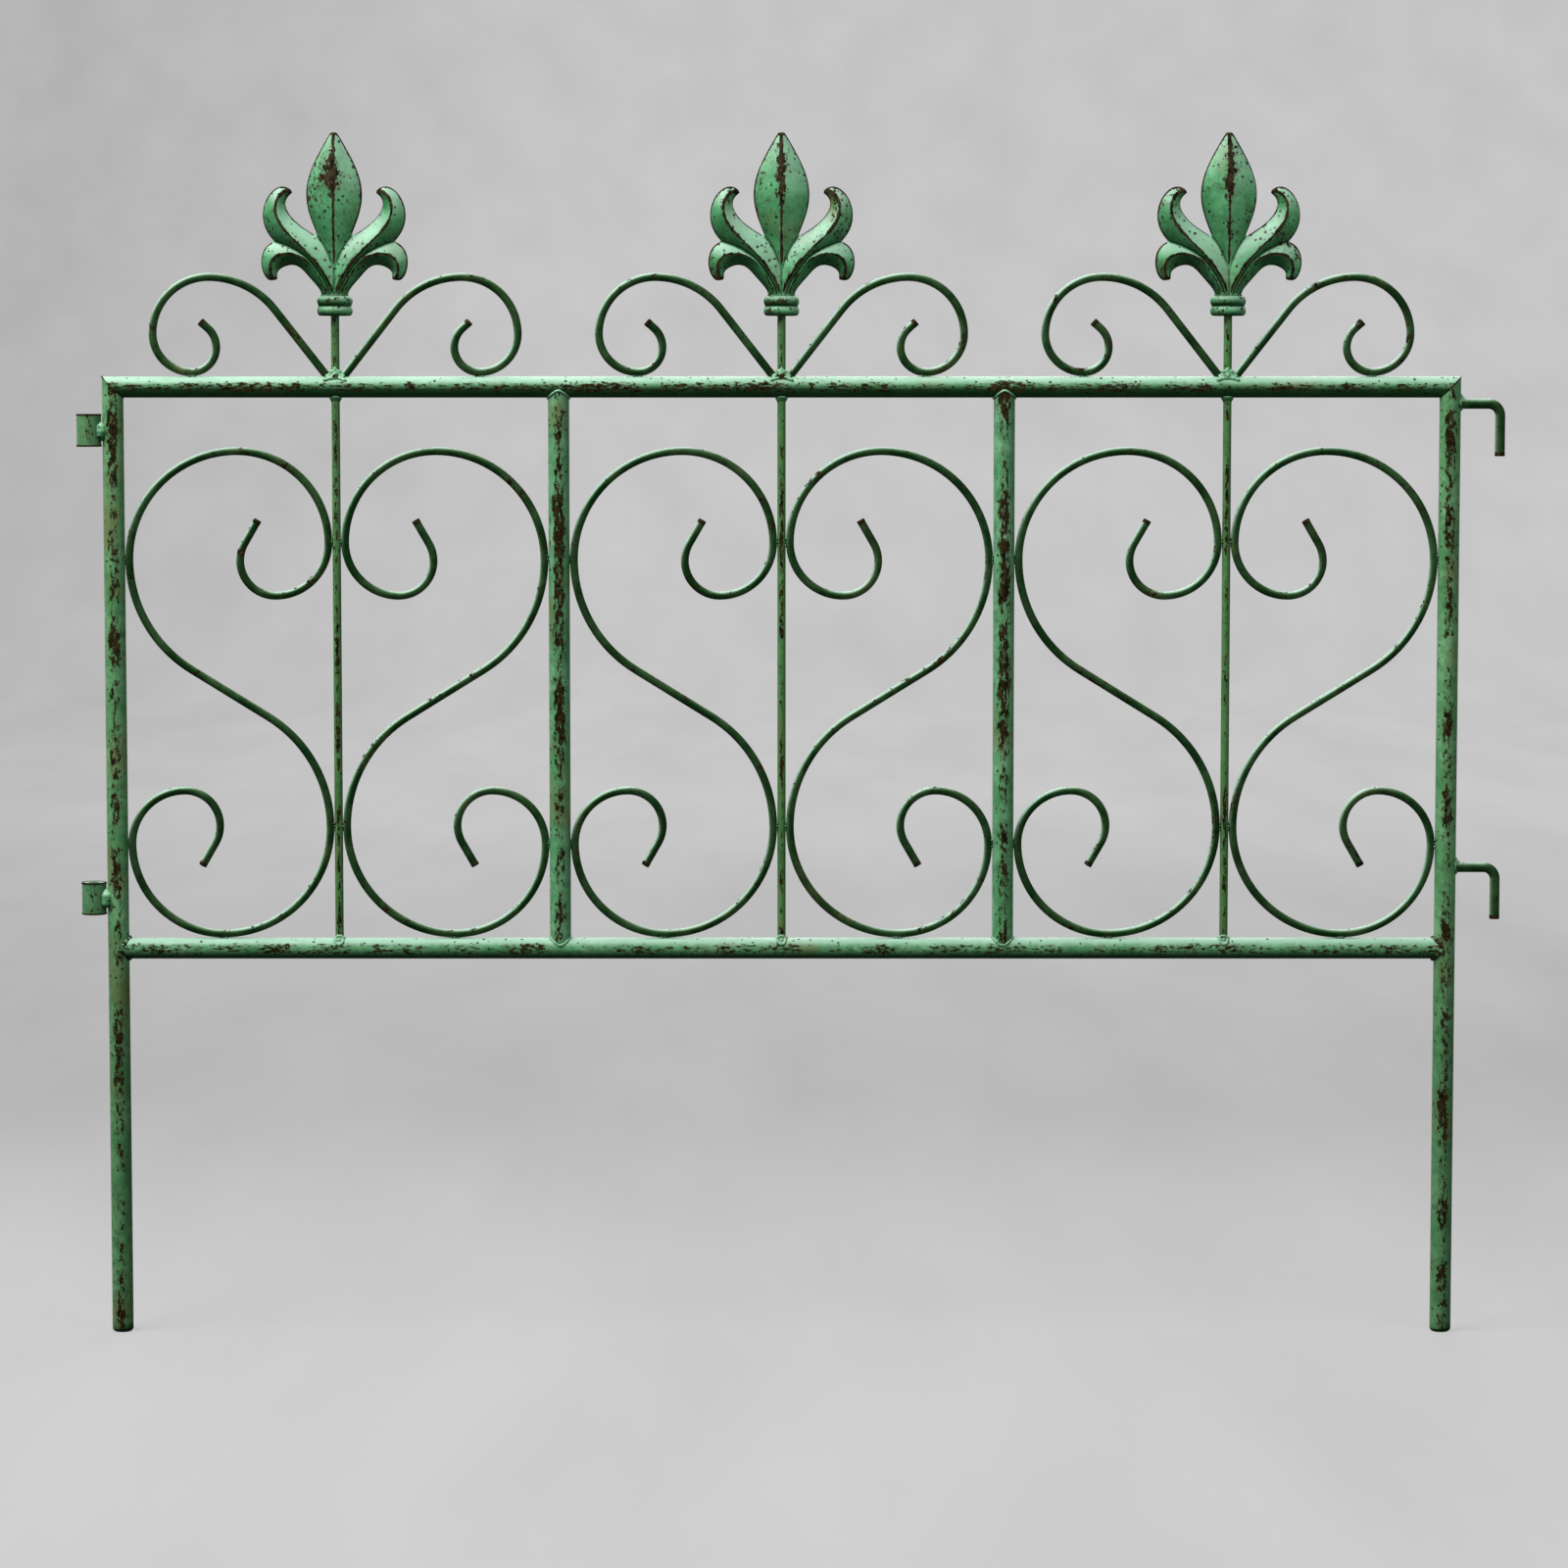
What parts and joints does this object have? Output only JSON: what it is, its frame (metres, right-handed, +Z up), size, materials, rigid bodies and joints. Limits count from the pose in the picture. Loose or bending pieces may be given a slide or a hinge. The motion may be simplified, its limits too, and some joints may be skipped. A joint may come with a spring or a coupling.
{
  "type": "decorative garden fence panel",
  "caption": "Welded tube garden fence panel with bent wire S-scrolls, crest scrolls and cast fleur-de-lis finials; sockets on one post and hooks on the other join it to the next panel.",
  "frame": {"origin": "middle of the left post's flat foot face", "axes": "+X along the panel from the left post (sockets) to the right post (hooks), +Y through the panel away from the viewer, +Z up"},
  "size_m": [0.8547, 0.0214, 0.7228],
  "materials": {
    "painted_tube": "aged green brush paint, chipped to brown primer and rust along the tubes",
    "painted_rod": "aged green brush paint, chipped to brown and rust",
    "painted_wire": "aged green brush paint, worn to dark brown in patches",
    "painted_casting": "aged green brush paint on a casting, worn dark on the ridges"
  },
  "bodies": {
    "root": {"left_post": "painted_tube", "right_post": "painted_tube", "top_rail": "painted_tube", "bottom_rail": "painted_tube", "stile_1": "painted_tube", "stile_2": "painted_tube", "centre_rod_1": "painted_rod", "finial_stem_1": "painted_rod", "finial_1": "painted_casting", "scroll_1_left": "painted_wire", "crest_1_left": "painted_wire", "scroll_1_right": "painted_wire", "crest_1_right": "painted_wire", "centre_rod_2": "painted_rod", "finial_stem_2": "painted_rod", "finial_2": "painted_casting", "scroll_2_left": "painted_wire", "crest_2_left": "painted_wire", "scroll_2_right": "painted_wire", "crest_2_right": "painted_wire", "centre_rod_3": "painted_rod", "finial_stem_3": "painted_rod", "finial_3": "painted_casting", "scroll_3_left": "painted_wire", "crest_3_left": "painted_wire", "scroll_3_right": "painted_wire", "crest_3_right": "painted_wire", "upper_hook": "painted_rod", "upper_socket": "painted_rod", "lower_hook": "painted_rod", "lower_socket": "painted_rod"}
  },
  "joints": []
}
